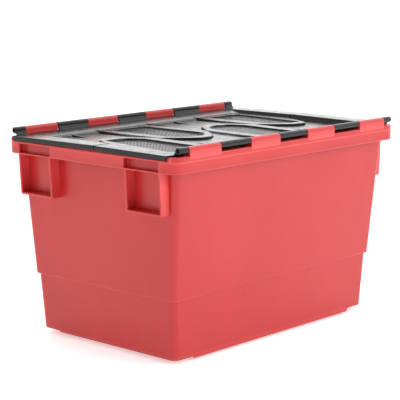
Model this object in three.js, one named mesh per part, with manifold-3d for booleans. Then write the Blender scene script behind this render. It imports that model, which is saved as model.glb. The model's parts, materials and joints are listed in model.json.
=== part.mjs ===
// Attached lid tote: a 600 x 400 mm distribution container in one red moulding, closed by two black
// lid halves that interleave along a wavy seam. Each half swings on a steel rod along its long side.
// Millimetres, +Z up. X runs along the length, Y along the width, and the origin is the middle of
// the base, on the surface that the tote stands on.

import * as THREE from 'three';
import { mergeVertices } from 'three/addons/utils/BufferGeometryUtils.js';
import Module from 'manifold-3d';

const wasm = await Module();
wasm.setup();

// ---- Driving dimensions ----

// Footprint and levels
const HALF_LENGTH = 300;
const HALF_WIDTH = 200;
const HEIGHT = 365;
const WALL = 3;

// Tapered wall, as half sizes at its lower edge, at the nesting step and under the rim
const WALL_FOOT = { x: 256, y: 160.5, z: 8.5 };
const STEP_Z = 108.6;
const STEP_UNDER = { x: 264.3, y: 164 };
const STEP_OVER = { x: 268.3, y: 167.6 };
const WALL_TOP = { x: 279, y: 185, z: 322.6 };
const WALL_CORNER_R = 12;

// Base pan that the tote stands on, and the wall's skirt beside it
const PAN = { x: 240, y: 145, cornerR: 14 };
const FOOT_SKIRT = { halfLength: 210, z: 3.5 };

// Rim
const RIM_CORNER_R = 24.5;
const RIM_Z = 322.6;
const RAIL_TOP_Z = 350;
const RAIL_INNER_Y = 186.5;
const SEAT_Z = 336;
const END_DECK_Z = 349;
const END_DECK_X = 296;
const END_BAND_TOP_Z = 344;

// Short sides: grip band in the middle, recess and pocket on each side of it
const GRIP_HALF_WIDTH = 88;
const RECESS_OUTER_Y = 165;
const RECESS_FACE_X = 289;
const POCKET_OUTER_Y = 168;
const POCKET_Z = 252;
const POCKET_RIB = 4;
const POCKET_FRONT_TOP_X = 299;
const POCKET_FRONT_LOW_X = 294.5;

// Hinge line of each long side
const HINGE_Y = 194;
const HINGE_Z = 359.5;
const KNUCKLE_R = 5.5;
const BORE_R = 2.6;
const ROD_R = 2.2;
const TAB_SPANS = [[37.5, 112.5], [187.5, 262.5]];
const END_KNUCKLE_X = 285;
const KNUCKLE_GAP = 1;
const ROD_HALF_LENGTH = 279;

// Lid halves, level as moulded; they rest a little open on the rim
const LID_SKIN = 3;
const LID_TOP_Z = 347;
const LID_HINGE_TOP_Z = 352.8;
const LID_HINGE_EDGE_Y = 186;
const LID_SLOPE_Y = 147;
const LID_END_X = 262;
const LID_END_TOP_Z = 352.5;
const LID_FLANGE_Z = END_BAND_TOP_Z + 0.3;
const LID_FLANGE_Y = 181;
const LID_REST_ANGLE = THREE.MathUtils.degToRad(0.5);
const SEAM_GAP = 2;
const SEAM_REACH = 60;
const SEAM_WAVE = 260;
const SEAM_RISE_X = [205, 265];
const SEAM_END_Y = 20;
const SEAM_RIB_Z = 339;

// Grip pockets in the lid lobes
const LID_POCKET_FLOOR_Z = 344;
const LID_POCKET_HALF_WIDTH = 42;
const LID_POCKET_TIP_MARGIN = 22;
const LID_POCKET_BACK_Y = 135;
const LID_POCKET_OUTER_CORNER = 22;

// ---- Materials ----

const redPlastic = new THREE.MeshStandardMaterial({ color: 0xc8383c, roughness: 0.42, metalness: 0 });
const blackPlastic = new THREE.MeshStandardMaterial({ color: 0x1d1f1e, roughness: 0.3, metalness: 0 });
const zincSteel = new THREE.MeshStandardMaterial({ color: 0xb4b6b8, roughness: 0.35, metalness: 1 });

// ---- Solids ----

function toSolid(geometry) {
  const bare = geometry.index ? geometry.toNonIndexed() : geometry.clone();
  bare.deleteAttribute('normal');
  bare.deleteAttribute('uv');
  const merged = mergeVertices(bare, 1e-4);
  return new wasm.Manifold(new wasm.Mesh({
    numProp: 3,
    vertProperties: new Float32Array(merged.attributes.position.array),
    triVerts: new Uint32Array(merged.index.array),
  }));
}

function toGeometry(solid) {
  const mesh = solid.getMesh();
  const geometry = new THREE.BufferGeometry();
  geometry.setAttribute('position', new THREE.BufferAttribute(mesh.vertProperties, 3));
  geometry.setIndex(new THREE.BufferAttribute(mesh.triVerts, 1));
  geometry.computeVertexNormals();
  return geometry;
}

function block(x0, x1, y0, y1, z0, z1) {
  const geometry = new THREE.BoxGeometry(Math.abs(x1 - x0), Math.abs(y1 - y0), Math.abs(z1 - z0));
  geometry.translate((x0 + x1) / 2, (y0 + y1) / 2, (z0 + z1) / 2);
  return toSolid(geometry);
}

// A plan outline raised from z0 to z1.
function prism(shape, z0, z1, curveSegments = 6) {
  const geometry = new THREE.ExtrudeGeometry(shape, { depth: z1 - z0, bevelEnabled: false, curveSegments });
  geometry.translate(0, 0, z0);
  return toSolid(geometry);
}

// An outline in the Y-Z plane run from x0 to x1.
function profileAlongX(shape, x0, x1, curveSegments = 8) {
  const geometry = new THREE.ExtrudeGeometry(shape, { depth: x1 - x0, bevelEnabled: false, curveSegments });
  geometry.applyMatrix4(new THREE.Matrix4().makeBasis(
    new THREE.Vector3(0, 1, 0),
    new THREE.Vector3(0, 0, 1),
    new THREE.Vector3(1, 0, 0),
  ));
  geometry.translate(x0, 0, 0);
  return toSolid(geometry);
}

// An outline in the X-Z plane run from y0 to y1.
function profileAlongY(shape, y0, y1) {
  const geometry = new THREE.ExtrudeGeometry(shape, { depth: y1 - y0, bevelEnabled: false });
  geometry.applyMatrix4(new THREE.Matrix4().makeBasis(
    new THREE.Vector3(1, 0, 0),
    new THREE.Vector3(0, 0, 1),
    new THREE.Vector3(0, -1, 0),
  ));
  geometry.translate(0, y1, 0);
  return toSolid(geometry);
}

function cylinderAlongX(radius, x0, x1, segments) {
  const geometry = new THREE.CylinderGeometry(radius, radius, x1 - x0, segments);
  geometry.rotateZ(Math.PI / 2);
  geometry.translate((x0 + x1) / 2, HINGE_Y, HINGE_Z);
  return toSolid(geometry);
}

function polygon(points) {
  return new THREE.Shape(points.map(([x, y]) => new THREE.Vector2(x, y)));
}

function roundedRectangle(halfX, halfY, radius) {
  const shape = new THREE.Shape();
  shape.moveTo(halfX - radius, -halfY);
  shape.absarc(halfX - radius, -halfY + radius, radius, -Math.PI / 2, 0, false);
  shape.absarc(halfX - radius, halfY - radius, radius, 0, Math.PI / 2, false);
  shape.absarc(-halfX + radius, halfY - radius, radius, Math.PI / 2, Math.PI, false);
  shape.absarc(-halfX + radius, -halfY + radius, radius, Math.PI, 1.5 * Math.PI, false);
  shape.closePath();
  return shape;
}

// A rounded box whose half sizes run from `low` at z0 to `high` at z1.
function taperedBox(low, high, radius, z0, z1) {
  const shape = roundedRectangle(low.x, low.y, radius);
  const options = { depth: z1 - z0, bevelEnabled: false, curveSegments: 6 };
  const geometry = new THREE.ExtrudeGeometry(shape, options);
  const position = geometry.attributes.position;
  for (let i = 0; i < position.count; i++) {
    const atTop = position.getZ(i) > (z1 - z0) / 2;
    position.setX(i, position.getX(i) * (atTop ? high.x / low.x : 1));
    position.setY(i, position.getY(i) * (atTop ? high.y / low.y : 1));
  }
  geometry.translate(0, 0, z0);
  return toSolid(geometry);
}

const inset = (half, by) => ({ x: half.x - by, y: half.y - by });
const joinAll = (solids) => solids.reduce((whole, next) => whole.add(next));

// A block given for the +X, +Y quarter, repeated on the sides that the flags name.
function mirrored(make, flipX, flipY) {
  const solids = [];
  for (const sx of flipX ? [1, -1] : [1]) {
    for (const sy of flipY ? [1, -1] : [1]) {
      solids.push(make(sx, sy));
    }
  }
  return joinAll(solids);
}

// ---- Tote body ----

function wallOuter() {
  const upper = taperedBox(STEP_OVER, WALL_TOP, WALL_CORNER_R, STEP_Z, WALL_TOP.z);
  const lower = taperedBox(WALL_FOOT, STEP_UNDER, WALL_CORNER_R, WALL_FOOT.z, STEP_Z + 1);
  const collar = prism(roundedRectangle(WALL_TOP.x, WALL_TOP.y, WALL_CORNER_R), WALL_TOP.z, SEAT_Z);
  const pan = prism(roundedRectangle(PAN.x, PAN.y, PAN.cornerR), 0, WALL_FOOT.z + 1);
  const footSkirts = mirrored((sx, sy) => block(
    -FOOT_SKIRT.halfLength, FOOT_SKIRT.halfLength,
    sy * (WALL_FOOT.y - WALL), sy * WALL_FOOT.y,
    FOOT_SKIRT.z, WALL_FOOT.z + 1,
  ), false, true);
  return joinAll([upper, lower, collar, pan, footSkirts]);
}

function cavity() {
  const innerR = WALL_CORNER_R - WALL;
  const stepInnerZ = STEP_Z + WALL;
  const panInner = inset(PAN, WALL);
  return joinAll([
    prism(roundedRectangle(panInner.x, panInner.y, PAN.cornerR - WALL), WALL, WALL_FOOT.z + WALL + 1),
    taperedBox(inset(WALL_FOOT, WALL), inset(STEP_UNDER, WALL), innerR, WALL_FOOT.z + WALL, stepInnerZ + 1),
    taperedBox(inset(STEP_OVER, WALL), inset(WALL_TOP, WALL), innerR, stepInnerZ, WALL_TOP.z),
    prism(roundedRectangle(WALL_TOP.x - WALL, WALL_TOP.y - WALL, innerR), WALL_TOP.z - 1, HEIGHT),
  ]);
}

// Rim of the long sides: an inverted channel with a low seat for the lid on its inner side.
function longRails() {
  const skirt = prism(roundedRectangle(HALF_LENGTH, HALF_WIDTH, RIM_CORNER_R), RIM_Z, RAIL_TOP_Z)
    .subtract(prism(
      roundedRectangle(HALF_LENGTH - WALL, HALF_WIDTH - WALL, RIM_CORNER_R - WALL),
      RIM_Z - 1, RAIL_TOP_Z - WALL,
    ))
    .subtract(block(
      -HALF_LENGTH - 1, HALF_LENGTH + 1,
      -RAIL_INNER_Y, RAIL_INNER_Y,
      END_BAND_TOP_Z, HEIGHT,
    ));
  const uprights = mirrored((sx, sy) => block(
    -END_DECK_X, END_DECK_X,
    sy * RAIL_INNER_Y, sy * (RAIL_INNER_Y + WALL),
    SEAT_Z - WALL, RAIL_TOP_Z,
  ), false, true);
  const seats = mirrored((sx, sy) => block(
    -WALL_TOP.x, WALL_TOP.x,
    sy * (WALL_TOP.y - WALL - 0.5), sy * (RAIL_INNER_Y + WALL),
    SEAT_Z - WALL, SEAT_Z,
  ), false, true);
  return joinAll([skirt, uprights, seats]);
}

// Rim of the short sides: a raised deck under the lid's end strip, with the band standing off it.
function endRims() {
  const reachY = RAIL_INNER_Y + WALL / 2;
  const riserX = END_DECK_X - WALL;
  return mirrored((sx) => joinAll([
    block(sx * (WALL_TOP.x - WALL - 0.5), sx * END_DECK_X, -reachY, reachY, END_DECK_Z - WALL, END_DECK_Z),
    block(sx * (WALL_TOP.x - WALL), sx * WALL_TOP.x, -reachY, reachY, SEAT_Z - WALL, END_DECK_Z),
    block(sx * riserX, sx * END_DECK_X, -reachY, reachY, END_BAND_TOP_Z - WALL, END_DECK_Z),
    block(
      sx * riserX, sx * HALF_LENGTH,
      -RAIL_INNER_Y, RAIL_INNER_Y,
      END_BAND_TOP_Z - WALL, END_BAND_TOP_Z,
    ),
  ]), true, false);
}

// The set-back face between the grip band and each corner, with the ledge under it.
function recessFaces() {
  return mirrored((sx, sy) => joinAll([
    block(
      sx * (RECESS_FACE_X - WALL), sx * POCKET_FRONT_TOP_X,
      sy * (GRIP_HALF_WIDTH - WALL), sy * (RECESS_OUTER_Y + WALL),
      RIM_Z, RIM_Z + WALL,
    ),
    block(
      sx * (RECESS_FACE_X - WALL), sx * RECESS_FACE_X,
      sy * (GRIP_HALF_WIDTH - WALL), sy * (RECESS_OUTER_Y + WALL),
      RIM_Z, END_BAND_TOP_Z,
    ),
    block(
      sx * (RECESS_FACE_X - WALL), sx * (END_DECK_X - 1),
      sy * (GRIP_HALF_WIDTH - WALL), sy * (RECESS_OUTER_Y + WALL),
      END_BAND_TOP_Z - WALL, END_BAND_TOP_Z,
    ),
    block(
      sx * (RECESS_FACE_X - WALL), sx * (HALF_LENGTH - 1),
      sy * (GRIP_HALF_WIDTH - WALL), sy * GRIP_HALF_WIDTH,
      RIM_Z, END_BAND_TOP_Z,
    ),
    block(
      sx * (RECESS_FACE_X - WALL), sx * (HALF_LENGTH - 1),
      sy * RECESS_OUTER_Y, sy * (RECESS_OUTER_Y + WALL),
      RIM_Z, END_BAND_TOP_Z,
    ),
  ]), true, true);
}

function recessCuts() {
  return mirrored((sx, sy) => block(
    sx * RECESS_FACE_X, sx * (HALF_LENGTH + 1),
    sy * GRIP_HALF_WIDTH, sy * RECESS_OUTER_Y,
    RIM_Z - 1, END_BAND_TOP_Z - WALL,
  ), true, true);
}

// U-shaped rib frame under each recess; the tote's wall is its back.
function pocketFrames() {
  const backX = 272;
  return mirrored((sx, sy) => {
    const side = polygon([
      [sx * backX, POCKET_Z],
      [sx * POCKET_FRONT_LOW_X, POCKET_Z],
      [sx * POCKET_FRONT_TOP_X, RIM_Z + WALL],
      [sx * backX, RIM_Z + WALL],
    ]);
    const inner = sy > 0 ? GRIP_HALF_WIDTH : -GRIP_HALF_WIDTH - POCKET_RIB;
    const outer = sy > 0 ? POCKET_OUTER_Y - POCKET_RIB : -POCKET_OUTER_Y;
    return joinAll([
      profileAlongY(side, inner, inner + POCKET_RIB),
      profileAlongY(side, outer, outer + POCKET_RIB),
      block(
        sx * backX, sx * POCKET_FRONT_LOW_X,
        sy * GRIP_HALF_WIDTH, sy * POCKET_OUTER_Y,
        POCKET_Z, POCKET_Z + POCKET_RIB,
      ),
    ]);
  }, true, true);
}

// Upright tabs on the rails, one moulding with the body, that the hinge rod passes through.
function hingeTabs() {
  const halfThick = HALF_WIDTH - HINGE_Y;
  return mirrored((sx, sy) => {
    const outline = new THREE.Shape();
    outline.moveTo(sy * HINGE_Y - halfThick, RAIL_TOP_Z - 1);
    outline.lineTo(sy * HINGE_Y + halfThick, RAIL_TOP_Z - 1);
    outline.lineTo(sy * HINGE_Y + halfThick, HEIGHT - halfThick);
    outline.absarc(sy * HINGE_Y, HEIGHT - halfThick, halfThick, 0, Math.PI, false);
    outline.closePath();
    const bore = new THREE.Path();
    bore.absarc(sy * HINGE_Y, HINGE_Z, BORE_R, 0, 2 * Math.PI, false);
    outline.holes.push(bore);
    return joinAll(TAB_SPANS.map(([near, far]) => profileAlongX(
      outline,
      Math.min(sx * near, sx * far),
      Math.max(sx * near, sx * far),
    )));
  }, true, true);
}

function toteBody() {
  const shell = wallOuter().add(pocketFrames()).subtract(cavity());
  const rim = longRails().add(endRims()).subtract(recessCuts()).add(recessFaces());
  return shell.add(rim).add(hingeTabs());
}

// ---- Lid halves ----

// Middle line of the seam: a wave between the lobes, and a rise beside each end strip.
function seamPoint(x) {
  if (Math.abs(x) <= 0.75 * SEAM_WAVE) {
    const phase = 2 * Math.PI * x / SEAM_WAVE;
    return {
      y: SEAM_REACH * Math.sin(phase),
      slope: SEAM_REACH * 2 * Math.PI / SEAM_WAVE * Math.cos(phase),
    };
  }
  const [low, high] = SEAM_RISE_X;
  const rise = SEAM_REACH + SEAM_END_Y;
  const t = THREE.MathUtils.clamp((Math.abs(x) - low) / (high - low), 0, 1);
  return {
    y: Math.sign(x) * (rise * t * t * (3 - 2 * t) - SEAM_REACH),
    slope: rise * 6 * t * (1 - t) / (high - low),
  };
}

// The seam between x0 and x1, moved by `offset` into the lid whose hinge is at +Y.
function seamEdge(x0, x1, offset, steps) {
  const points = [];
  for (let i = 0; i <= steps; i++) {
    const x = x0 + (x1 - x0) * i / steps;
    const { y, slope } = seamPoint(x);
    const length = Math.hypot(1, slope);
    points.push([x - offset * slope / length, y + offset / length]);
  }
  points[0][0] = x0;
  points[steps][0] = x1;
  return points;
}

// The lid's plan from the seam to `backY`, between x0 and x1.
function lidPlan(x0, x1, backY, steps) {
  return polygon([...seamEdge(x0, x1, SEAM_GAP / 2, steps), [x1, backY], [x0, backY]]);
}

function lidPanel() {
  const under = LID_TOP_Z - LID_SKIN;
  const edge = LID_END_X + LID_SKIN;
  const slope = polygon([
    [LID_SLOPE_Y - 2, under],
    [LID_HINGE_EDGE_Y, LID_HINGE_TOP_Z - LID_SKIN],
    [LID_HINGE_EDGE_Y, LID_HINGE_TOP_Z],
    [LID_SLOPE_Y, LID_TOP_Z],
    [LID_SLOPE_Y - 2, LID_TOP_Z],
  ]);
  const steps = 88;
  const rib = polygon([
    ...seamEdge(-LID_END_X, LID_END_X, SEAM_GAP / 2, steps),
    ...seamEdge(-LID_END_X, LID_END_X, SEAM_GAP / 2 + LID_SKIN, steps).reverse(),
  ]);
  return joinAll([
    prism(lidPlan(-edge, edge, LID_SLOPE_Y, steps), under, LID_TOP_Z),
    profileAlongX(slope, -edge, edge),
    prism(rib, SEAM_RIB_Z, under + 1),
  ]);
}

// Raised strip over the tote's end rim, with its inner riser and its downturned flange.
function lidEnds() {
  const ends = [];
  for (const side of [-1, 1]) {
    const span = (a, b) => (side > 0 ? [a, b] : [-b, -a]);
    const [stripX0, stripX1] = span(LID_END_X, HALF_LENGTH);
    const seam = seamEdge(stripX0, stripX1, SEAM_GAP / 2, 6);
    const corner = [
      [HALF_LENGTH, LID_FLANGE_Y],
      [END_KNUCKLE_X, LID_HINGE_EDGE_Y],
      [LID_END_X, LID_HINGE_EDGE_Y],
    ];
    const back = corner.map(([x, y]) => [side * x, y]);
    const outline = polygon([...seam, ...(side > 0 ? back : back.reverse())]);
    const [riserX0, riserX1] = span(LID_END_X, LID_END_X + LID_SKIN);
    const [flangeX0, flangeX1] = span(HALF_LENGTH - LID_SKIN, HALF_LENGTH);
    ends.push(
      prism(outline, LID_END_TOP_Z - LID_SKIN, LID_END_TOP_Z),
      prism(lidPlan(riserX0, riserX1, LID_HINGE_EDGE_Y, 2), LID_TOP_Z - LID_SKIN, LID_END_TOP_Z),
      prism(lidPlan(flangeX0, flangeX1, LID_FLANGE_Y, 2), LID_FLANGE_Z, LID_END_TOP_Z),
    );
  }
  return joinAll(ends);
}

// Outline of a lobe's pocket: straight sides and a round tip that follows the lobe. The pocket beside
// the end strip is round on its inner side only.
function pocketPlan(lobeX, grow) {
  const halfWidth = LID_POCKET_HALF_WIDTH + grow;
  const tipY = -SEAM_REACH + LID_POCKET_TIP_MARGIN + LID_POCKET_HALF_WIDTH;
  const backY = LID_POCKET_BACK_Y + grow;
  const shape = new THREE.Shape();
  shape.moveTo(lobeX + halfWidth, backY);
  shape.lineTo(lobeX - halfWidth, backY);
  shape.lineTo(lobeX - halfWidth, tipY);
  if (lobeX > SEAM_WAVE / 2) {
    shape.absarc(lobeX, tipY, halfWidth, Math.PI, 1.5 * Math.PI, false);
    shape.lineTo(lobeX + LID_POCKET_OUTER_CORNER + grow, tipY - halfWidth);
  } else {
    shape.absarc(lobeX, tipY, halfWidth, Math.PI, 2 * Math.PI, false);
  }
  shape.closePath();
  return shape;
}

const LOBE_CENTRES = [-0.25 * SEAM_WAVE, 0.75 * SEAM_WAVE];

function lidPocketPans() {
  return joinAll(LOBE_CENTRES.map((x) => prism(
    pocketPlan(x, LID_SKIN), LID_POCKET_FLOOR_Z - LID_SKIN, LID_TOP_Z - 1, 16,
  )));
}

function lidPocketHollows() {
  return joinAll(LOBE_CENTRES.map((x) => prism(pocketPlan(x, 0), LID_POCKET_FLOOR_Z, HEIGHT, 16)));
}

// Spans along X of the barrels that the lid carries between the body's tabs.
function knuckleSpans() {
  const [[innerNear, innerFar], [outerNear, outerFar]] = TAB_SPANS;
  const gap = KNUCKLE_GAP;
  return [
    [-END_KNUCKLE_X, -outerFar - gap],
    [-outerNear + gap, -innerFar - gap],
    [-innerNear + gap, innerNear - gap],
    [innerFar + gap, outerNear - gap],
    [outerFar + gap, END_KNUCKLE_X],
  ];
}

function lidKnuckles() {
  const arm = polygon([
    [LID_HINGE_EDGE_Y - 2, LID_HINGE_TOP_Z - LID_SKIN - 0.3],
    [LID_HINGE_EDGE_Y, RAIL_TOP_Z + 0.5],
    [HINGE_Y - 1.5, HINGE_Z - 4.5],
    [HINGE_Y - 5.4, HINGE_Z + 0.5],
    [LID_HINGE_EDGE_Y - 1.2, LID_HINGE_TOP_Z],
    [LID_HINGE_EDGE_Y - 2, LID_HINGE_TOP_Z - 0.3],
  ]);
  return joinAll(knuckleSpans().map(([x0, x1]) => (
    cylinderAlongX(KNUCKLE_R, x0, x1, 20).add(profileAlongX(arm, x0, x1))
  )));
}

function lidHalf() {
  const bore = cylinderAlongX(BORE_R, -END_KNUCKLE_X - 1, END_KNUCKLE_X + 1, 14);
  return joinAll([lidPanel(), lidPocketPans(), lidEnds(), lidKnuckles()])
    .subtract(lidPocketHollows())
    .subtract(bore);
}

// ---- Assembly ----

const tote = new THREE.Group();

function addPiece(parent, name, geometry, material) {
  const piece = new THREE.Mesh(geometry, material);
  piece.name = name;
  parent.add(piece);
  return piece;
}

addPiece(tote, 'tote_body', toGeometry(toteBody()), redPlastic);

const lidGeometry = toGeometry(lidHalf());
const rodGeometry = new THREE.CylinderGeometry(ROD_R, ROD_R, 2 * ROD_HALF_LENGTH, 14);
rodGeometry.rotateZ(Math.PI / 2);

// The near side is the far side turned half a turn about Z.
for (const [side, turn] of [['far', 0], ['near', Math.PI]]) {
  const half = new THREE.Group();
  half.rotation.z = turn;
  tote.add(half);

  const hinge = new THREE.Group();
  hinge.position.set(0, HINGE_Y, HINGE_Z);
  half.add(hinge);
  addPiece(hinge, `hinge_rod_${side}`, rodGeometry, zincSteel);

  const swing = new THREE.Group();
  swing.rotation.x = -LID_REST_ANGLE;
  hinge.add(swing);
  const lid = addPiece(swing, `lid_${side}`, lidGeometry, blackPlastic);
  lid.position.set(0, -HINGE_Y, -HINGE_Z);
}

export default tote;
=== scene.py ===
"""Attached lid tote: finished surfaces, materials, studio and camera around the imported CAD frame.

Shapes are worked out in millimetres in the frame's axes (X length, Y width, Z up) and become metres
when their mesh is made. The far lid half is described once; the near one is the same half turned
half a turn about Z.
"""
import json
import math

import bmesh
import bpy
import numpy as np
from mathutils import Matrix, Vector
from mathutils.geometry import delaunay_2d_cdt


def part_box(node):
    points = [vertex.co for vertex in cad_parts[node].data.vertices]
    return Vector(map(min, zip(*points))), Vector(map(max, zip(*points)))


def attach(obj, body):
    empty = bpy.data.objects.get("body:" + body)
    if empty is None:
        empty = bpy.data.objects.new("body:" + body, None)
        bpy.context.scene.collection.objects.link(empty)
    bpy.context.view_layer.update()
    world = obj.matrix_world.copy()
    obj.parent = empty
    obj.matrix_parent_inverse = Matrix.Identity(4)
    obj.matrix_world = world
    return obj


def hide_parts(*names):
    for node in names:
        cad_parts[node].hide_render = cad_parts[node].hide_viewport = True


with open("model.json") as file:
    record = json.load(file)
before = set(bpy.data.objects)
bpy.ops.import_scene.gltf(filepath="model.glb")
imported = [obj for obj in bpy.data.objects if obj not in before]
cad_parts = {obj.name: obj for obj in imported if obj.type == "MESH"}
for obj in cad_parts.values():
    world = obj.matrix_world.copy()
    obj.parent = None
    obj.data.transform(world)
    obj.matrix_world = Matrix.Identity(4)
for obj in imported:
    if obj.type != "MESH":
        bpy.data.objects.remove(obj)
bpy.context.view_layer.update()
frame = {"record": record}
MM = 0.001

# ---- Sizes taken from the frame ----
_, body_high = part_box("tote_body")
HALF_LENGTH, HALF_WIDTH, HEIGHT = (value / MM for value in body_high)
joint_places = {joint["name"]: joint["pos_m"] for joint in frame["record"]["behaviour"]["joints"]}
HINGE_Y, HINGE_Z = (value / MM for value in joint_places["lid_far_hinge"][1:])

# ---- Body sizes ----
WALL = 3.0
WALL_CORNER_R = 12.0
LEDGE_THICKNESS = 1.8
PAN = (240.0, 145.0)
PAN_CORNER_R = 14.0
FOOT = (256.0, 160.5)
FOOT_Z = 8.5
FOOT_SKIRT_HALF_LENGTH = 210.0
FOOT_SKIRT_Z = 3.5
STEP_Z = 108.6
STEP_UNDER = (264.3, 164.0)
STEP_OVER = (268.3, 167.6)
WALL_TOP = (279.0, 185.0)
RIM_Z = 322.6
SEAT_Z = 336.0
RIM_CORNER_R = 24.5
RAIL_TOP_Z = 350.0
RAIL_INNER_Y = 186.5
END_BAND_TOP_Z = 344.0
END_LEDGE_Z = END_BAND_TOP_Z - WALL
END_DECK_X = 296.0
END_DECK_Z = 349.0
GRIP_HALF_WIDTH = 88.0
RECESS_OUTER_Y = 165.0
RECESS_FACE_X = 289.0
POCKET_OUTER_Y = 168.0
POCKET_Z = 252.0
POCKET_RIB = 4.0
POCKET_FRONT_TOP_X = 299.0
POCKET_FRONT_LOW_X = 294.5
POCKET_BACK_X = 273.0
TAB_ROOT_Z = RAIL_TOP_Z - 5.0
TAB_SPANS = ((37.5, 112.5), (187.5, 262.5))
BORE_R = 2.6
ROD_R = 2.2
ROD_HALF_LENGTH = 279.0
# The band stands this far behind the tabs' outer faces, so that the two never share a plane.
FLUSH = 0.05

# ---- Lid sizes ----
LID_SKIN = 3.0
LID_TOP_Z = 347.0
LID_VALLEY_DROP = 2.7
LID_HINGE_TOP_Z = 352.8
LID_HINGE_EDGE_Y = 186.0
LID_SLOPE_Y = 147.0
LID_SLOPE_FOOT = 1.0
LID_END_X = 262.0
LID_END_TOP_Z = 352.5
LID_RISER_LEAN = 3.0
# The end strip is cut back by this much for each millimetre past the end knuckle.
FLANGE_CUT = 0.36
LID_FLANGE_Z = END_BAND_TOP_Z + 0.3
LID_REST_ANGLE = math.radians(0.5)
KNUCKLE_R = 5.5
KNUCKLE_GAP = 1.0
END_KNUCKLE_X = 285.0
SEAM_GAP = 2.0
SEAM_REACH = 60.0
SEAM_WAVE = 260.0
SEAM_RISE_X = (205.0, 265.0)
SEAM_END_Y = 20.0
LID_END_WAVE = 400.0
SEAM_RIB_Z = 339.0
HINGE_RIB_Y = 152.0
VALLEY_BACK_Y = 142.0
VALLEY_RAMP = 0.04
LOBE_X = (-0.25 * SEAM_WAVE, 0.75 * SEAM_WAVE)
VALLEY_X = (-0.75 * SEAM_WAVE, 0.25 * SEAM_WAVE)
VALLEY_EDGES_X = (-SEAM_WAVE / 2, 0.0, SEAM_WAVE / 2)
LID_POCKET_FLOOR_Z = 344.0
LID_POCKET_HALF_WIDTH = 42.0
LID_POCKET_TIP_Y = -SEAM_REACH + 22.0
LID_POCKET_BACK_Y = 135.0
LID_POCKET_OUTER_CORNER = 22.0
# Half length, half width and corner radius of the small slot in a valley.
SLOT_SIZE = (6.0, 2.2, 1.4)
SLOT_CENTRE = (-232.0, 138.0)
SLOT_DEPTH = 1.8
GRIP_PITCH = 3.4
GRIP_HEIGHT = 0.7


# ---- Outlines ----

def rounded_rectangle(half_x, half_y, radius, segments=8, centre=(0.0, 0.0)):
    """Anticlockwise outline with round corners."""
    points = []
    for quarter, (sx, sy) in enumerate(((1, 1), (-1, 1), (-1, -1), (1, -1))):
        corner = (centre[0] + sx * (half_x - radius), centre[1] + sy * (half_y - radius))
        for step in range(segments + 1):
            angle = (quarter + step / segments) * math.pi / 2
            points.append((corner[0] + radius * math.cos(angle), corner[1] + radius * math.sin(angle)))
    return np.array(points)


def circle(radius, centre, count=24):
    angles = np.arange(count) * 2 * math.pi / count
    return np.stack([centre[0] + radius * np.cos(angles), centre[1] + radius * np.sin(angles)], axis=1)


def soften(points, radius, segments=4):
    """The closed outline with each corner replaced by a short curve. radius is one number or one each."""
    points = np.array(points, dtype=float)
    count = len(points)
    radii = [radius] * count if np.isscalar(radius) else list(radius)
    result = []
    for index in range(count):
        here = points[index]
        if radii[index] == 0:
            result.append(here)
            continue
        before = points[index - 1] - here
        after = points[(index + 1) % count] - here
        reach = min(radii[index], 0.49 * np.linalg.norm(before), 0.49 * np.linalg.norm(after))
        start = here + before / np.linalg.norm(before) * reach
        end = here + after / np.linalg.norm(after) * reach
        for step in range(segments + 1):
            t = step / segments
            result.append((1 - t) ** 2 * start + 2 * t * (1 - t) * here + t ** 2 * end)
    return np.array(result)


def offset(loop, distance):
    """The anticlockwise outline moved inwards by distance, or outwards if it is negative."""
    before = loop - np.roll(loop, 1, axis=0)
    after = np.roll(loop, -1, axis=0) - loop
    before /= np.linalg.norm(before, axis=1)[:, None]
    after /= np.linalg.norm(after, axis=1)[:, None]
    left_before = np.stack([-before[:, 1], before[:, 0]], axis=1)
    left_after = np.stack([-after[:, 1], after[:, 0]], axis=1)
    share = 1 + np.sum(left_before * left_after, axis=1)
    return loop + distance * (left_before + left_after) / np.maximum(share, 0.4)[:, None]


def inside(points, loops):
    """Which points lie inside an odd number of the loops."""
    result = np.zeros(len(points), dtype=bool)
    px, py = points[:, 0][:, None], points[:, 1][:, None]
    for loop in loops:
        x0, y0 = loop[:, 0][None, :], loop[:, 1][None, :]
        x1, y1 = np.roll(loop[:, 0], -1)[None, :], np.roll(loop[:, 1], -1)[None, :]
        spans = (y0 > py) != (y1 > py)
        rise = np.where(y1 == y0, 1.0, y1 - y0)
        crossing = x0 + (py - y0) / rise * (x1 - x0)
        result ^= (np.sum(spans & (px < crossing), axis=1) % 2).astype(bool)
    return result


def grid_lines(low, high, spacing, creases):
    """Evenly spaced values, with the ones near a crease moved onto the crease's own lines."""
    even = np.arange(low + spacing / 2, high, spacing)
    own = np.array(creases, dtype=float)
    if len(own):
        even = even[np.min(np.abs(even[:, None] - own[None, :]), axis=1) > 0.35 * spacing]
    own = own[(own > low) & (own < high)] if len(own) else own
    return np.sort(np.concatenate([even, own]))


# ---- Closed meshes ----

# Each tall wall has a row of vertices this far inside its rims, so that edge shading stays at the edges.
EDGE_GUARD = 1.5


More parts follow.
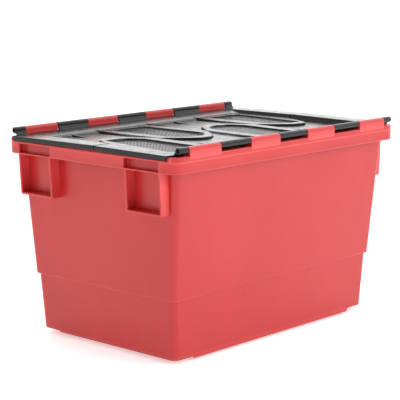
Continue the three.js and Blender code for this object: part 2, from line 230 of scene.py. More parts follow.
class Skin:
    """Vertices and faces of one closed mesh, in millimetres."""

    def __init__(self):
        self.vertices = []
        self.faces = []

    def ring(self, plan, heights):
        """Adds a closed row of vertices above a plan outline and returns their numbers."""
        first = len(self.vertices)
        levels = np.broadcast_to(heights, (len(plan),))
        self.vertices.extend((p[0], p[1], z) for p, z in zip(plan, levels))
        return list(range(first, len(self.vertices)))

    def bridge(self, low, high):
        """Joins two rows of the same length by quads."""
        count = len(low)
        for i in range(count):
            j = (i + 1) % count
            self.faces.append((low[i], low[j], high[j], high[i]))

    def cap(self, rings, height, spacing=None, creases=((), ())):
        """Fills the area inside the first ring and outside the others with triangles."""
        numbers = [number for ring in rings for number in ring]
        plan = [np.array([self.vertices[n][:2] for n in ring]) for ring in rings]
        flat = np.concatenate(plan)
        edges = []
        start = 0
        for ring in rings:
            count = len(ring)
            edges += [(start + i, start + (i + 1) % count) for i in range(count)]
            start += count
        if spacing:
            low, high = flat.min(axis=0), flat.max(axis=0)
            xs = grid_lines(low[0], high[0], spacing, creases[0])
            ys = grid_lines(low[1], high[1], spacing, creases[1])
            grid = np.stack(np.meshgrid(xs, ys), axis=-1).reshape(-1, 2)
            grid = grid[inside(grid, plan)]
            gaps = np.min(np.linalg.norm(grid[:, None, :] - flat[None, :, :], axis=2), axis=1)
            grid = grid[gaps > 0.4 * spacing]
            first = len(self.vertices)
            levels = height(grid[:, 0], grid[:, 1])
            self.vertices.extend((p[0], p[1], z) for p, z in zip(grid, levels))
            numbers += range(first, len(self.vertices))
            flat = np.concatenate([flat, grid])
        coords, _, triangles, origins, _, _ = delaunay_2d_cdt([Vector(p) for p in flat], edges, [], 0, 1e-5)
        coords = np.array([(c[0], c[1]) for c in coords])
        triangles = np.array(triangles)
        keep = inside(coords[triangles].mean(axis=1), plan)
        for triangle in triangles[keep]:
            self.faces.append(tuple(numbers[origins[corner][0]] for corner in triangle))

    def fan(self, ring):
        """Closes a convex ring from its middle."""
        middle = np.mean([self.vertices[n] for n in ring], axis=0)
        self.vertices.append(tuple(middle))
        for i, number in enumerate(ring):
            self.faces.append((number, ring[(i + 1) % len(ring)], len(self.vertices) - 1))


def level(value):
    """A height given as a number or as a function of the plan, as a function."""
    return value if callable(value) else (lambda x, y: np.full(np.shape(x), float(value)))


def plate(outer, low, high, holes=(), wells=(), round_low=0.6, round_high=0.6, spacing=None,
          creases=((), ()), steps=3):
    """A closed plate between two heights, with rounded rims, through holes, and wells sunk in its top.

    A well is (outline, floor height, skin): its hollow is cut in the top, and its own skin hangs
    below the plate.
    """
    skin = Skin()
    low, high = level(low), level(high)

    def rows(loop, growth, radius, height, side):
        """Rows of a rounded rim, from the wall to the flat. growth is 1 where the flat lies inwards."""
        result = []
        for step in range(steps + 1 if radius else 1):
            angle = step / steps * math.pi / 2 if radius else 0
            plan = offset(loop, growth * radius * (1 - math.cos(angle)))
            drop = radius * (1 - math.sin(angle)) if radius else 0
            result.append(skin.ring(plan, height(plan[:, 0], plan[:, 1]) - side * drop))
        return result

    def chain(row_list):
        for first, second in zip(row_list, row_list[1:]):
            skin.bridge(first, second)

    tops, bottoms = [], []
    for loop, growth in [(outer, 1)] + [(hole, -1) for hole in holes]:
        upper = rows(loop, growth, round_high, high, 1)
        lower = rows(loop, growth, round_low, low, -1)
        chain(upper)
        chain(lower)
        wall = [lower[0], upper[0]]
        if np.min(high(loop[:, 0], loop[:, 1]) - low(loop[:, 0], loop[:, 1])) > 4 * EDGE_GUARD:
            guards = [low(loop[:, 0], loop[:, 1]) + round_low + EDGE_GUARD,
                      high(loop[:, 0], loop[:, 1]) - round_high - EDGE_GUARD]
            wall[1:1] = [skin.ring(loop, heights) for heights in guards]
        chain(wall)
        tops.append(upper[-1])
        bottoms.append(lower[-1])
    for outline, floor, thickness in wells:
        mouth = rows(outline, -1, round_high, high, 1)
        foot = rows(offset(outline, 0.3), 1, round_high, level(floor), -1)
        chain(mouth)
        chain(foot)
        skin.bridge(foot[0], mouth[0])
        skin.cap([foot[-1]], level(floor))
        tops.append(mouth[-1])
        if thickness:
            grown = offset(outline, -thickness)
            collar = skin.ring(grown, low(grown[:, 0], grown[:, 1]))
            base = rows(grown, 1, round_low, level(floor - thickness), -1)
            chain(base)
            skin.bridge(base[0], collar)
            skin.cap([base[-1]], level(floor - thickness))
            bottoms.append(collar)
    skin.cap(tops, high, spacing, creases)
    skin.cap(bottoms, low, spacing, creases)
    return skin


PLAN = Matrix.Identity(4)
# An outline drawn as (Y, Z) and run along X, and one drawn as (X, Z) and run along Y.
ALONG_X = Matrix(((0, 0, 1, 0), (1, 0, 0, 0), (0, 1, 0, 0), (0, 0, 0, 1)))
ALONG_Y = Matrix(((1, 0, 0, 0), (0, 0, 1, 0), (0, 1, 0, 0), (0, 0, 0, 1)))
HALF_TURN = Matrix.Rotation(math.pi, 4, "Z")
FLIP_Y = Matrix.Scale(-1, 4, Vector((0, 1, 0)))
FLIP_X = Matrix.Scale(-1, 4, Vector((1, 0, 0)))
# Faces that meet at more than this are shaded as a sharp edge.
SHARP_ANGLE = math.radians(38)


def piece(name, skins, material, body):
    """One shown object made of closed skins, each a (skin, matrix) pair, riding on a CAD body."""
    whole = bmesh.new()
    for skin, matrix in skins:
        part = bmesh.new()
        rows = [part.verts.new((matrix @ Vector(v)) * MM) for v in skin.vertices]
        for face in skin.faces:
            if len(set(face)) > 2:
                part.faces.new([rows[i] for i in face])
        bmesh.ops.remove_doubles(part, verts=part.verts, dist=1e-7)
        bmesh.ops.recalc_face_normals(part, faces=part.faces)
        mesh = bpy.data.meshes.new(name)
        part.to_mesh(mesh)
        part.free()
        whole.from_mesh(mesh)
        bpy.data.meshes.remove(mesh)
    mesh = bpy.data.meshes.new(name)
    whole.to_mesh(mesh)
    whole.free()
    mesh.shade_smooth()
    mesh.set_sharp_from_angle(angle=SHARP_ANGLE)
    mesh.materials.append(material)
    obj = bpy.data.objects.new(name, mesh)
    bpy.context.scene.collection.objects.link(obj)
    weighted = obj.modifiers.new("weighted_normals", "WEIGHTED_NORMAL")
    weighted.keep_sharp = True
    weighted.weight = 100
    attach(obj, body)
    return obj


# ---- Materials ----

def new_material(name):
    material = bpy.data.materials.new(name)
    material.use_nodes = True
    nodes = material.node_tree.nodes
    return material, nodes, material.node_tree.links, nodes["Principled BSDF"]


def noise(nodes, links, coordinates, scale, detail, stretch=(1, 1, 1)):
    """A noise texture in object space, in features per metre."""
    mapping = nodes.new("ShaderNodeMapping")
    mapping.inputs["Scale"].default_value = stretch
    links.new(coordinates, mapping.inputs["Vector"])
    texture = nodes.new("ShaderNodeTexNoise")
    texture.inputs["Scale"].default_value = scale
    texture.inputs["Detail"].default_value = detail
    links.new(mapping.outputs["Vector"], texture.inputs["Vector"])
    return texture.outputs["Fac"]


def ramp(nodes, links, value, low, high, start=0.3, end=0.7):
    """Colours from low to high as the value runs from start to end."""
    node = nodes.new("ShaderNodeValToRGB")
    node.color_ramp.elements[0].position = start
    node.color_ramp.elements[1].position = end
    node.color_ramp.elements[0].color = (*low, 1)
    node.color_ramp.elements[1].color = (*high, 1)
    links.new(value, node.inputs["Fac"])
    return node.outputs["Color"]


def spread(nodes, links, value, low, high):
    """The value stretched from 0.3..0.7 to low..high."""
    node = nodes.new("ShaderNodeMapRange")
    node.inputs["From Min"].default_value = 0.3
    node.inputs["From Max"].default_value = 0.7
    node.inputs["To Min"].default_value = low
    node.inputs["To Max"].default_value = high
    links.new(value, node.inputs["Value"])
    return node.outputs["Result"]


def bump(nodes, links, layers):
    """Bump nodes in a row, one for each (height, distance in metres) layer."""
    normal = None
    for height, distance in layers:
        node = nodes.new("ShaderNodeBump")
        node.inputs["Strength"].default_value = 1.0
        node.inputs["Distance"].default_value = distance
        links.new(height, node.inputs["Height"])
        if normal:
            links.new(normal, node.inputs["Normal"])
        normal = node.outputs["Normal"]
    return normal


def moulded_plastic(name, low, high, edge, roughness, specular, grain, ripple):
    """Injection-moulded polypropylene: slight flow marks, fine grain, scuffs in its gloss, and a painted
    highlight that lightens the colour on convex edges.
    """
    material, nodes, links, shader = new_material(name)
    coordinates = nodes.new("ShaderNodeTexCoord").outputs["Object"]
    flow = noise(nodes, links, coordinates, 9, 3, (1, 1, 0.5))
    speckle = noise(nodes, links, coordinates, 900, 2)
    waviness = noise(nodes, links, coordinates, 26, 1)
    scuffs = noise(nodes, links, coordinates, 70, 8, (1, 1, 0.25))
    body = ramp(nodes, links, flow, low, high)
    # Painted highlight: convex edges, found by pointiness, are blended towards the lighter edge colour.
    edges = nodes.new("ShaderNodeMapRange")
    edges.inputs["From Min"].default_value = 0.51
    edges.inputs["From Max"].default_value = 0.58
    links.new(nodes.new("ShaderNodeNewGeometry").outputs["Pointiness"], edges.inputs["Value"])
    colour_with_painted_edge_highlight = nodes.new("ShaderNodeMix")
    colour_with_painted_edge_highlight.data_type = "RGBA"
    colour_with_painted_edge_highlight.inputs[7].default_value = (*edge, 1)
    links.new(edges.outputs["Result"], colour_with_painted_edge_highlight.inputs[0])
    links.new(body, colour_with_painted_edge_highlight.inputs[6])
    links.new(colour_with_painted_edge_highlight.outputs[2], shader.inputs["Base Color"])
    links.new(spread(nodes, links, scuffs, *roughness), shader.inputs["Roughness"])
    links.new(bump(nodes, links, [(waviness, ripple), (speckle, grain)]), shader.inputs["Normal"])
    shader.inputs["IOR"].default_value = 1.49
    shader.inputs["Specular IOR Level"].default_value = specular
    return material


def zinc_steel():
    """Zinc-plated wire with fine drawing lines along its length."""
    material, nodes, links, shader = new_material("zinc_steel")
    coordinates = nodes.new("ShaderNodeTexCoord").outputs["Object"]
    drawn = noise(nodes, links, coordinates, 1500, 4, (0.02, 1, 1))
    patches = noise(nodes, links, coordinates, 60, 3)
    colour = ramp(nodes, links, patches, (0.5, 0.51, 0.53), (0.66, 0.67, 0.68))
    links.new(colour, shader.inputs["Base Color"])
    links.new(spread(nodes, links, drawn, 0.22, 0.42), shader.inputs["Roughness"])
    links.new(bump(nodes, links, [(drawn, 0.00002)]), shader.inputs["Normal"])
    shader.inputs["Metallic"].default_value = 1.0
    return material


# The third colour of each plastic is the painted highlight laid on its convex edges.
RED = moulded_plastic(
    "red_polypropylene", (0.48, 0.017, 0.016), (0.53, 0.022, 0.021), (0.74, 0.070, 0.068),
    (0.28, 0.40), 0.5, 0.000012, 0.00012)
BLACK = moulded_plastic(
    "black_polypropylene", (0.006, 0.006, 0.006), (0.009, 0.009, 0.009), (0.035, 0.035, 0.034),
    (0.16, 0.27), 0.3, 0.000008, 0.0001)
STEEL = zinc_steel()


# ---- Tote body ----

def tote_shell():
    """The walls, nesting step and base pan, as one profile carried round a rounded rectangle."""
    corner, inner_corner = WALL_CORNER_R, WALL_CORNER_R - WALL

    def inner(half):
        return half[0] - WALL, half[1] - WALL

    def length(v):
        return np.linalg.norm(v[[0, 3]])

    def reach(v, bend):
        return min(bend, 0.45 * length(v)) / length(v)

    # Half size, plan corner radius, height, and how far each profile corner is softened.
    corners = [
        ((PAN[0] - 6, PAN[1] - 6), PAN_CORNER_R - 6, 0, 0),
        (PAN, PAN_CORNER_R, 0, 2.5),
        (PAN, PAN_CORNER_R, FOOT_Z, 1.5),
        (FOOT, corner, FOOT_Z, 2.5),
        (STEP_UNDER, corner, STEP_Z, 1.2),
        (STEP_OVER, corner, STEP_Z, 2.0),
        (WALL_TOP, corner, RIM_Z, 2.0),
        (WALL_TOP, corner, SEAT_Z, 0.8),
        (inner(WALL_TOP), inner_corner, SEAT_Z, 0.8),
        (inner(WALL_TOP), inner_corner, RIM_Z, 2.0),
        (inner(STEP_OVER), inner_corner, STEP_Z + WALL, 1.5),
        (inner(STEP_UNDER), inner_corner, STEP_Z + WALL, 2.0),
        (inner(FOOT), inner_corner, FOOT_Z + WALL, 5.0),
        (inner(PAN), PAN_CORNER_R - WALL, FOOT_Z + WALL, 1.5),
        (inner(PAN), PAN_CORNER_R - WALL, WALL, 3.0),
        ((PAN[0] - 10, PAN[1] - 10), PAN_CORNER_R - 8, WALL, 0),
    ]
    path = np.array([(half[0], half[1], radius, z) for half, radius, z, _ in corners])
    rows = []
    for index, (_, _, _, bend) in enumerate(corners):
        if bend == 0:
            rows.append(path[index])
            continue
        before, after = path[index - 1] - path[index], path[index + 1] - path[index]
        start, end = (path[index] + v * reach(v, bend) for v in (before, after))
        guards = [path[index] + v * min(0.48, reach(v, bend) + 2 * EDGE_GUARD / length(v))
                  for v in (before, after)]
        rows.append(guards[0])
        for t in np.linspace(0, 1, 5):
            rows.append((1 - t) ** 2 * start + 2 * t * (1 - t) * path[index] + t ** 2 * end)
        rows.append(guards[1])
    skin = Skin()
    rings = [skin.ring(rounded_rectangle(x, y, radius, 10), z) for x, y, radius, z in rows]
    for first, second in zip(rings, rings[1:]):
        skin.bridge(first, second)
    skin.fan(rings[0])
    skin.fan(rings[-1])
    return skin


def foot_skirt():
    """Low edge under the long wall, between the notches at the corners."""
    y0, y1 = FOOT[1] - WALL, FOOT[1] - FLUSH
    outline = soften([
        (-FOOT_SKIRT_HALF_LENGTH, FOOT_SKIRT_Z), (FOOT_SKIRT_HALF_LENGTH, FOOT_SKIRT_Z),
        (FOOT_SKIRT_HALF_LENGTH + 4, FOOT_Z + 2.5), (-FOOT_SKIRT_HALF_LENGTH - 4, FOOT_Z + 2.5),
    ], (1.5, 1.5, 0, 0))
    return plate(outline, y0, y1, round_low=0.8, round_high=0.8)


def rim_outline(inset):
    """The rim band in plan, with its four recesses, moved inwards by inset."""
    half_x, half_y = HALF_LENGTH - FLUSH - inset, HALF_WIDTH - FLUSH - inset
    near_y, far_y, face_x = GRIP_HALF_WIDTH - inset, RECESS_OUTER_Y + inset, RECESS_FACE_X - inset
    quarter = soften([
        (half_x, 0), (half_x, near_y), (face_x, near_y),
        (face_x, far_y), (half_x, far_y), (half_x, half_y), (0, 0),
    ], (0, 2.5, 2.0, 2.0, 2.5, 0, 0))[1:-2]
    radius = RIM_CORNER_R - inset
    arc = [(half_x - radius + radius * math.cos(a), half_y - radius + radius * math.sin(a))
           for a in np.linspace(0, math.pi / 2, 13)]
    quarter = np.concatenate([quarter, arc])
    return np.concatenate([
        quarter,
        (quarter * (-1, 1))[::-1],
        quarter * (-1, -1),
        (quarter * (1, -1))[::-1],
    ])


def rim_band():
    return plate(rim_outline(0), RIM_Z, END_LEDGE_Z, holes=[rim_outline(WALL)], round_low=1.4, round_high=0)


def rim_arc(y_low, y_high):
    """The rim's rounded outline on the +X side, between two Y values."""
    half_x, half_y = HALF_LENGTH - FLUSH, HALF_WIDTH - FLUSH
    centre = (half_x - RIM_CORNER_R, half_y - RIM_CORNER_R)
    start = math.asin((y_low - centre[1]) / RIM_CORNER_R) if y_low > centre[1] else 0.0
    end = math.asin(min(1.0, (y_high - centre[1]) / RIM_CORNER_R))
    return [(centre[0] + RIM_CORNER_R * math.cos(a), centre[1] + RIM_CORNER_R * math.sin(a))
            for a in np.linspace(start, end, 10)]


def rail_cap():
    """Top of the long side's rail with the corners at its ends."""
    arc = rim_arc(RAIL_INNER_Y, HALF_WIDTH)
    other = [(-x, y) for x, y in reversed(arc)]
    return plate(np.array(arc + other), END_LEDGE_Z, RAIL_TOP_Z, round_low=0, round_high=1.3, steps=4)


def rail_seat():
    """Inner side of the rail with the low seat for the lid's edge."""
    outline = soften([
        (WALL_TOP[1] - WALL, SEAT_Z - WALL), (RAIL_INNER_Y + WALL, SEAT_Z - WALL),
        (RAIL_INNER_Y + WALL, END_LEDGE_Z + 1), (RAIL_INNER_Y + FLUSH, END_LEDGE_Z + 1),
        (RAIL_INNER_Y + FLUSH, SEAT_Z + FLUSH), (WALL_TOP[1] - WALL, SEAT_Z + FLUSH),
    ], (0.6, 0.6, 0, 0, 1.5, 0.6))
    return plate(outline, -END_DECK_X + 2, END_DECK_X - 2, round_low=0, round_high=0)


def end_ledge():
    """Top of the short side's band, under the lid's flange."""
    arc = rim_arc(0, RAIL_INNER_Y)
    x_low = RECESS_FACE_X - WALL
    outline = [(x_low, -RAIL_INNER_Y)] + [(x, -y) for x, y in reversed(arc)] + arc + [(x_low, RAIL_INNER_Y)]
    return plate(np.array(outline), END_LEDGE_Z, END_BAND_TOP_Z, round_low=0.4, round_high=0.8)


def end_deck():
    """Raised deck that the lid's end strip rests over."""
    x0, x1 = WALL_TOP[0] - WALL, END_DECK_X
    outline = soften([
        (x0, SEAT_Z - WALL), (x0 + WALL, SEAT_Z - WALL), (x0 + WALL, END_DECK_Z - WALL),
        (x1 - WALL, END_DECK_Z - WALL), (x1 - WALL, END_LEDGE_Z), (x1, END_LEDGE_Z),
        (x1, END_DECK_Z), (x0, END_DECK_Z),
    ], (0, 0, 1.5, 1.5, 0, 0, 1.5, 1.0))
    return plate(outline, -RAIL_INNER_Y - 1, RAIL_INNER_Y + 1, round_low=0, round_high=0)


def recess_ledge():
    """Thin ledge that closes a recess below, over the pocket."""
    outline = np.array([
        (RECESS_FACE_X - WALL, GRIP_HALF_WIDTH - 1), (POCKET_FRONT_TOP_X, GRIP_HALF_WIDTH - 1),
        (POCKET_FRONT_TOP_X, POCKET_OUTER_Y - 1), (RECESS_FACE_X - WALL, POCKET_OUTER_Y - 1),
    ])
    return plate(outline, RIM_Z, RIM_Z + LEDGE_THICKNESS, round_low=0.5, round_high=0.5)


def pocket_frame():
    """U-shaped frame standing off the wall, leaning back towards its lower edge."""
    low_y, high_y, top = GRIP_HALF_WIDTH, POCKET_OUTER_Y, RIM_Z + 1
    outline = soften([
        (low_y, POCKET_Z), (high_y, POCKET_Z), (high_y, top), (high_y - POCKET_RIB, top),
        (high_y - POCKET_RIB, POCKET_Z + POCKET_RIB), (low_y + POCKET_RIB, POCKET_Z + POCKET_RIB),
        (low_y + POCKET_RIB, top), (low_y, top),
    ], (3, 3, 0, 0, 2, 2, 0, 0))
    lean = (POCKET_FRONT_TOP_X - POCKET_FRONT_LOW_X) / (RIM_Z - POCKET_Z)

    def front(y, z):
        return POCKET_FRONT_LOW_X + lean * (z - POCKET_Z) - FLUSH

    return plate(outline, POCKET_BACK_X, front, round_low=0.3, round_high=0.9)


def hinge_tab(x0, x1):
    """Upright tab with a round top and the rod's bore."""
    half_thick = HALF_WIDTH - HINGE_Y
    crown = HEIGHT - half_thick
    arc = [(HINGE_Y + half_thick * math.cos(a), crown + half_thick * math.sin(a))
           for a in np.linspace(0, math.pi, 17)]
    foot = [(HINGE_Y - half_thick, TAB_ROOT_Z), (HINGE_Y + half_thick, TAB_ROOT_Z)]
    outline = np.array(foot + arc)
    bore = circle(BORE_R, (HINGE_Y, HINGE_Z))
    return plate(outline, x0, x1, holes=[bore], round_low=1.2, round_high=1.2)


def build_body():
    both_y = (Matrix.Identity(4), FLIP_Y)
    corners = (Matrix.Identity(4), FLIP_Y, FLIP_X, FLIP_X @ FLIP_Y)
    ends = (Matrix.Identity(4), FLIP_X)
    tab_shapes = [hinge_tab(*span) for span in TAB_SPANS]
    groups = {
        "tote_shell": [(tote_shell(), PLAN)] + [(foot_skirt(), m @ ALONG_Y) for m in both_y],
        "tote_rim": (
            [(rim_band(), PLAN)]
            + [(rail_cap(), m) for m in both_y]
            + [(rail_seat(), m @ ALONG_X) for m in both_y]
            + [(end_ledge(), m) for m in ends]
            + [(end_deck(), m @ ALONG_Y) for m in ends]
            + [(recess_ledge(), m) for m in corners]
        ),
        "grip_pocket_frames": [(pocket_frame(), m @ ALONG_X) for m in corners],
        "hinge_tabs": [(shape, m @ ALONG_X) for shape in tab_shapes for m in corners],
    }
    pieces = [piece(name, skins, RED, "body") for name, skins in groups.items()]
    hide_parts("tote_body")


# ---- Lid halves ----

def seam(x):
    """Height in Y and slope of the seam's middle line: a wave, then a rise beside each end strip."""
    rate = 2 * math.pi / SEAM_WAVE
    out = np.abs(x) > 0.75 * SEAM_WAVE
    low, high = SEAM_RISE_X
    t = np.clip((np.abs(x) - low) / (high - low), 0, 1)
    rise = SEAM_REACH + SEAM_END_Y
    end_y = np.sign(x) * (rise * t * t * (3 - 2 * t) - SEAM_REACH)
    y = np.where(out, end_y, SEAM_REACH * np.sin(rate * x))
    slope = np.where(out, rise * 6 * t * (1 - t) / (high - low), SEAM_REACH * rate * np.cos(rate * x))
    return y, slope


def seam_edge(x0, x1, distance, step=3.0):
    """Points along the seam moved by distance into the far lid, from x0 to x1."""
    xs = np.linspace(x0, x1, int(abs(x1 - x0) / step) + 2)
    y, slope = seam(xs)
    length = np.hypot(1, slope)
    points = np.stack([xs - distance * slope / length, y + distance / length], axis=1)
    points[0, 0], points[-1, 0] = x0, x1
    return points


def smooth(value, low, high):
    t = np.clip((value - low) / (high - low), 0, 1)
    return t * t * (3 - 2 * t)


def lid_top(x, y):
    """Height of the lid's upper face: lobes, lower valleys between them, and the rise to the hinge."""
    x, y = np.asarray(x, float), np.asarray(y, float)
    lobe = 0.75 * SEAM_WAVE
    wave = np.cos(2 * math.pi * (x - LOBE_X[0]) / SEAM_WAVE)
    end = np.sign(x) * np.cos(2 * math.pi * (np.abs(x) - lobe) / LID_END_WAVE)
    wave = np.where(np.abs(x) > lobe, end, wave)
    valley = smooth(-wave, -VALLEY_RAMP, VALLEY_RAMP) * (1 - smooth(y, VALLEY_BACK_Y - 3, VALLEY_BACK_Y))
    foot = LID_TOP_Z + LID_SLOPE_FOOT * smooth(y, LID_SLOPE_Y - 1.2, LID_SLOPE_Y)
    climb = np.clip((y - LID_SLOPE_Y) / (LID_HINGE_EDGE_Y - LID_SLOPE_Y), 0, 1)
    return foot - LID_VALLEY_DROP * valley + climb * (LID_HINGE_TOP_Z - LID_TOP_Z - LID_SLOPE_FOOT)


def pocket_outline(lobe_x):
    """Straight sides and a round tip. The pocket beside the end strip is round on its inner side only."""
    half = LID_POCKET_HALF_WIDTH
    centre_y = LID_POCKET_TIP_Y + half
    beside_strip = lobe_x > SEAM_WAVE / 2
    tip_end = 1.5 * math.pi if beside_strip else 2 * math.pi
    arc = [(lobe_x + half * math.cos(a), centre_y + half * math.sin(a))
           for a in np.linspace(math.pi, tip_end, 25)]
    turn = (lobe_x + half, centre_y)
    if beside_strip:
        turn = (lobe_x + LID_POCKET_OUTER_CORNER, LID_POCKET_TIP_Y)
    corners = soften([arc[-1], turn, (lobe_x + half, LID_POCKET_BACK_Y),
                      (lobe_x - half, LID_POCKET_BACK_Y), arc[0]], (0, 3 * beside_strip, 8, 8, 0), 6)
    first = 1 if beside_strip else 2
    return np.concatenate([np.array(arc), corners[first:-1]])


def lid_panel():
    edge = LID_END_X + 1.5
    lower = seam_edge(-edge, edge, SEAM_GAP / 2)
    outline = np.concatenate([lower, [(edge, LID_HINGE_EDGE_Y), (-edge, LID_HINGE_EDGE_Y)]])
    slot = rounded_rectangle(*SLOT_SIZE, 4, SLOT_CENTRE)
    wells = [(pocket_outline(x), LID_POCKET_FLOOR_Z, LID_SKIN) for x in LOBE_X]
    wells.append((slot, LID_TOP_Z - LID_VALLEY_DROP - SLOT_DEPTH, 0))
    under = lambda x, y: lid_top(x, y) - LID_SKIN
    edges_x = [side + d for side in VALLEY_EDGES_X for d in (-1.6, -0.8, 0, 0.8, 1.6)]
    edges_y = [LID_SLOPE_Y - d for d in (1.2, 0.8, 0.4, 0.0)] + [VALLEY_BACK_Y - d for d in (3, 2, 1, 0)]
    return plate(
        outline, under, lid_top, wells=wells, round_low=0.5, round_high=0.9,
        spacing=3.2, creases=(edges_x, edges_y))


def grip_texture():
    """Rows of small pyramids over the floors of the pockets."""
    skin = Skin()
    half = GRIP_PITCH * 0.42
    for lobe_x in LOBE_X:
        border = offset(pocket_outline(lobe_x), GRIP_PITCH * 0.8)
        low, high = border.min(axis=0), border.max(axis=0)
        xs = np.arange(low[0], high[0], GRIP_PITCH)
        ys = np.arange(low[1], high[1], GRIP_PITCH)
        centres = np.stack(np.meshgrid(xs, ys), axis=-1).reshape(-1, 2)
        for x, y in centres[inside(centres, [border])]:
            first = len(skin.vertices)
            base, top = LID_POCKET_FLOOR_Z - 0.2, LID_POCKET_FLOOR_Z + GRIP_HEIGHT
            skin.vertices += [(x - half, y, base), (x, y - half, base), (x + half, y, base),
                              (x, y + half, base), (x, y, top)]
            skin.faces += [(first + i, first + (i + 1) % 4, first + 4) for i in range(4)]
            skin.faces.append((first + 3, first + 2, first + 1, first))
    return skin


def lid_end(side):
    """Raised end strip with its riser and its downturned flange, cut along the seam."""
    outline = soften([
        (LID_END_X - LID_RISER_LEAN, LID_TOP_Z - LID_VALLEY_DROP - 1),
        (LID_END_X + LID_SKIN, LID_TOP_Z - LID_VALLEY_DROP - 1),
        (LID_END_X + LID_SKIN, LID_END_TOP_Z - LID_SKIN),
        (HALF_LENGTH - LID_SKIN, LID_END_TOP_Z - LID_SKIN), (HALF_LENGTH - LID_SKIN, LID_FLANGE_Z),
        (HALF_LENGTH, LID_FLANGE_Z), (HALF_LENGTH, LID_END_TOP_Z), (LID_END_X, LID_END_TOP_Z),
    ], (0, 0, 1.5, 1.5, 1.2, 1.2, 1.8, 1.5))
    outline = outline * (side, 1)
    if side < 0:
        outline = outline[::-1]

    def start(x, z):
        y, slope = seam(np.asarray(x, float))
        return y + SEAM_GAP / 2 * np.hypot(1, slope)

    def end(x, z):
        return LID_HINGE_EDGE_Y - FLANGE_CUT * np.clip(np.abs(x) - END_KNUCKLE_X, 0, None)

    return plate(outline, start, end, round_low=0.8, round_high=0.8)


def lid_knuckle(x0, x1):
    """Barrel and the arm that carries it, with the rod's bore."""
    barrel = [(HINGE_Y + KNUCKLE_R * math.cos(a), HINGE_Z + KNUCKLE_R * math.sin(a))
              for a in np.radians(np.linspace(-112, 192, 28))]
    arm = soften([
        barrel[-1],
        (LID_HINGE_EDGE_Y - 1.4, LID_HINGE_TOP_Z), (LID_HINGE_EDGE_Y - 6, LID_HINGE_TOP_Z - 1.1),
        (LID_HINGE_EDGE_Y - 6, LID_HINGE_TOP_Z - 2.8), (LID_HINGE_EDGE_Y, RAIL_TOP_Z + 0.6),
        barrel[0],
    ], (0, 1.2, 0, 0, 1.0, 0))[1:-1]
    bore = circle(BORE_R, (HINGE_Y, HINGE_Z))
    return plate(np.array(barrel + list(arm)), x0, x1, holes=[bore], round_low=0.6, round_high=0.6)


def knuckle_spans():
    (near, near_far), (far, far_far) = TAB_SPANS
    gap = KNUCKLE_GAP
    return [(-END_KNUCKLE_X, -far_far - gap), (-far + gap, -near_far - gap), (-near + gap, near - gap),
            (near_far + gap, far - gap), (far_far + gap, END_KNUCKLE_X)]


def seam_rib():
    """Stiffening rib under the wavy edge."""
    edge = LID_END_X
    outer, inner_side = (seam_edge(-edge, edge, d, 6.0) for d in (SEAM_GAP / 2 + 0.3, SEAM_GAP / 2 + 2.6))
    outline = np.concatenate([outer, inner_side[::-1]])
    top = lambda x, y: lid_top(x, y) - LID_SKIN + 0.5
    return plate(outline, SEAM_RIB_Z, top, round_low=0.4, round_high=0)


def under_rib(x0, y0, x1, y1, low):
    outline = np.array([(x0, y0), (x1, y0), (x1, y1), (x0, y1)])
    top = lambda x, y: lid_top(x, y) - LID_SKIN + 0.5
    return plate(outline, low, top, round_low=0.5, round_high=0)


def under_ribs():
    """Ribs under the panel: one along the hinge, and cross ribs through the valleys."""
    half = 1.0
    low = SEAM_RIB_Z + 1.5
    ribs = [under_rib(-LID_END_X, HINGE_RIB_Y - half, LID_END_X, HINGE_RIB_Y + half, low + 1)]
    for x in (*VALLEY_X, *VALLEY_EDGES_X):
        start = float(seam(np.array(x))[0]) + 3.5
        ribs.append(under_rib(x - half, start, x + half, LID_HINGE_EDGE_Y - 2, low))
    return ribs


def build_lids():
    hinge = Vector((0, HINGE_Y, HINGE_Z))
    rest = Matrix.Translation(hinge) @ Matrix.Rotation(-LID_REST_ANGLE, 4, "X") @ Matrix.Translation(-hinge)
    panel = [lid_panel(), seam_rib(), *under_ribs()]
    ends = [lid_end(1), lid_end(-1)]
    knuckles = [lid_knuckle(*span) for span in knuckle_spans()]
    grip = grip_texture()
    for name, turn in (("far", Matrix.Identity(4)), ("near", HALF_TURN)):
        place = turn @ rest
        body = f"lid_{name}"
        skins = [(s, place) for s in panel]
        skins += [(s, place @ ALONG_Y) for s in ends]
        skins += [(s, place @ ALONG_X) for s in knuckles]
        lid = piece(f"lid_panel_{name}", skins, BLACK, body)
        piece(f"lid_grip_texture_{name}", [(grip, place)], BLACK, body)
        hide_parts(f"lid_{name}")


def build_rods():
    section = circle(ROD_R, (HINGE_Y, HINGE_Z), 32)
    rod = plate(section, -ROD_HALF_LENGTH, ROD_HALF_LENGTH, round_low=0.6, round_high=0.6)
    for name, turn in (("far", Matrix.Identity(4)), ("near", HALF_TURN)):
        obj = piece(f"rod_{name}", [(rod, turn @ ALONG_X)], STEEL, "body")
        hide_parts(f"hinge_rod_{name}")


# ---- Studio ----

CAMERA_TARGET = Vector((-0.02057, -0.00122, 0.22539))
CAMERA_AZIMUTH = math.radians(-47.8)
CAMERA_ELEVATION = math.radians(10.01)
CAMERA_DISTANCE = 2.6208
CAMERA_LENS = 131.53


def add_camera():
    data = bpy.data.cameras.new("camera")
    data.sensor_width = 36.0
    data.lens = CAMERA_LENS
    camera = bpy.data.objects.new("camera", data)
    bpy.context.scene.collection.objects.link(camera)
    away = Vector((
        math.sin(CAMERA_AZIMUTH) * math.cos(CAMERA_ELEVATION),
        -math.cos(CAMERA_AZIMUTH) * math.cos(CAMERA_ELEVATION),
        math.sin(CAMERA_ELEVATION),
    ))
    camera.location = CAMERA_TARGET + away * CAMERA_DISTANCE
    camera.rotation_euler = away.to_track_quat("Z", "Y").to_euler()
    bpy.context.scene.camera = camera


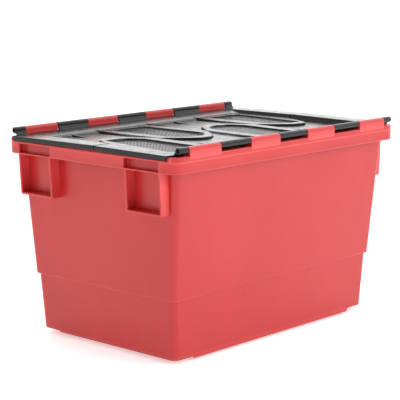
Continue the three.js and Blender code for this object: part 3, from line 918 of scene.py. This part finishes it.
def add_area_light(name, place, target, size, power):
    data = bpy.data.lights.new(name, "AREA")
    data.shape = "RECTANGLE"
    data.size, data.size_y = size
    data.energy = power
    light = bpy.data.objects.new(name, data)
    light.location = place
    light.rotation_euler = (Vector(place) - Vector(target)).to_track_quat("Z", "Y").to_euler()
    bpy.context.scene.collection.objects.link(light)


# The floor lies this far under the base, so that the two never share a plane.
FLOOR_GAP = 0.0002


def add_floor():
    material, nodes, links, shader = new_material("studio_white")
    coordinates = nodes.new("ShaderNodeTexCoord").outputs["Object"]
    paper = noise(nodes, links, coordinates, 400, 2)
    white = ramp(nodes, links, paper, (0.82, 0.82, 0.82), (0.85, 0.85, 0.85))
    links.new(white, shader.inputs["Base Color"])
    shader.inputs["Roughness"].default_value = 0.9
    shader.inputs["Emission Color"].default_value = (1, 1, 1, 1)
    shader.inputs["Emission Strength"].default_value = 0.45
    bpy.ops.mesh.primitive_plane_add(size=30, location=(0, 0, -FLOOR_GAP))
    floor = bpy.context.object
    floor.name = "studio_floor"
    floor.data.materials.append(material)


def add_world():
    """A white cyclorama: bright behind the tote and overhead, dimmer on the near side."""
    world = bpy.data.worlds.new("studio")
    world.use_nodes = True
    nodes, links = world.node_tree.nodes, world.node_tree.links
    direction = nodes.new("ShaderNodeTexCoord").outputs["Generated"]
    towards = nodes.new("ShaderNodeVectorMath")
    towards.operation = "DOT_PRODUCT"
    towards.inputs[1].default_value = (0.70, 0.62, 0.35)
    links.new(direction, towards.inputs[0])
    strength = nodes.new("ShaderNodeMapRange")
    strength.inputs["From Min"].default_value = -0.2
    strength.inputs["From Max"].default_value = 0.6
    strength.inputs["To Min"].default_value = 0.16
    strength.inputs["To Max"].default_value = 1.9
    links.new(towards.outputs["Value"], strength.inputs["Value"])
    background = nodes["Background"]
    background.inputs["Color"].default_value = (1, 1, 1, 1)
    links.new(strength.outputs["Result"], background.inputs["Strength"])
    bpy.context.scene.world = world


def build_studio():
    add_camera()
    add_world()
    add_floor()
    add_area_light("key", (0.6, -3.2, 1.9), (0, 0, 0.2), (2.4, 2.0), 64)
    add_area_light("fill", (-3.4, -0.9, 2.0), (0, 0, 0.2), (2.4, 2.0), 26)
    bpy.context.scene.view_settings.view_transform = "Standard"


build_studio()
build_body()
build_lids()
build_rods()
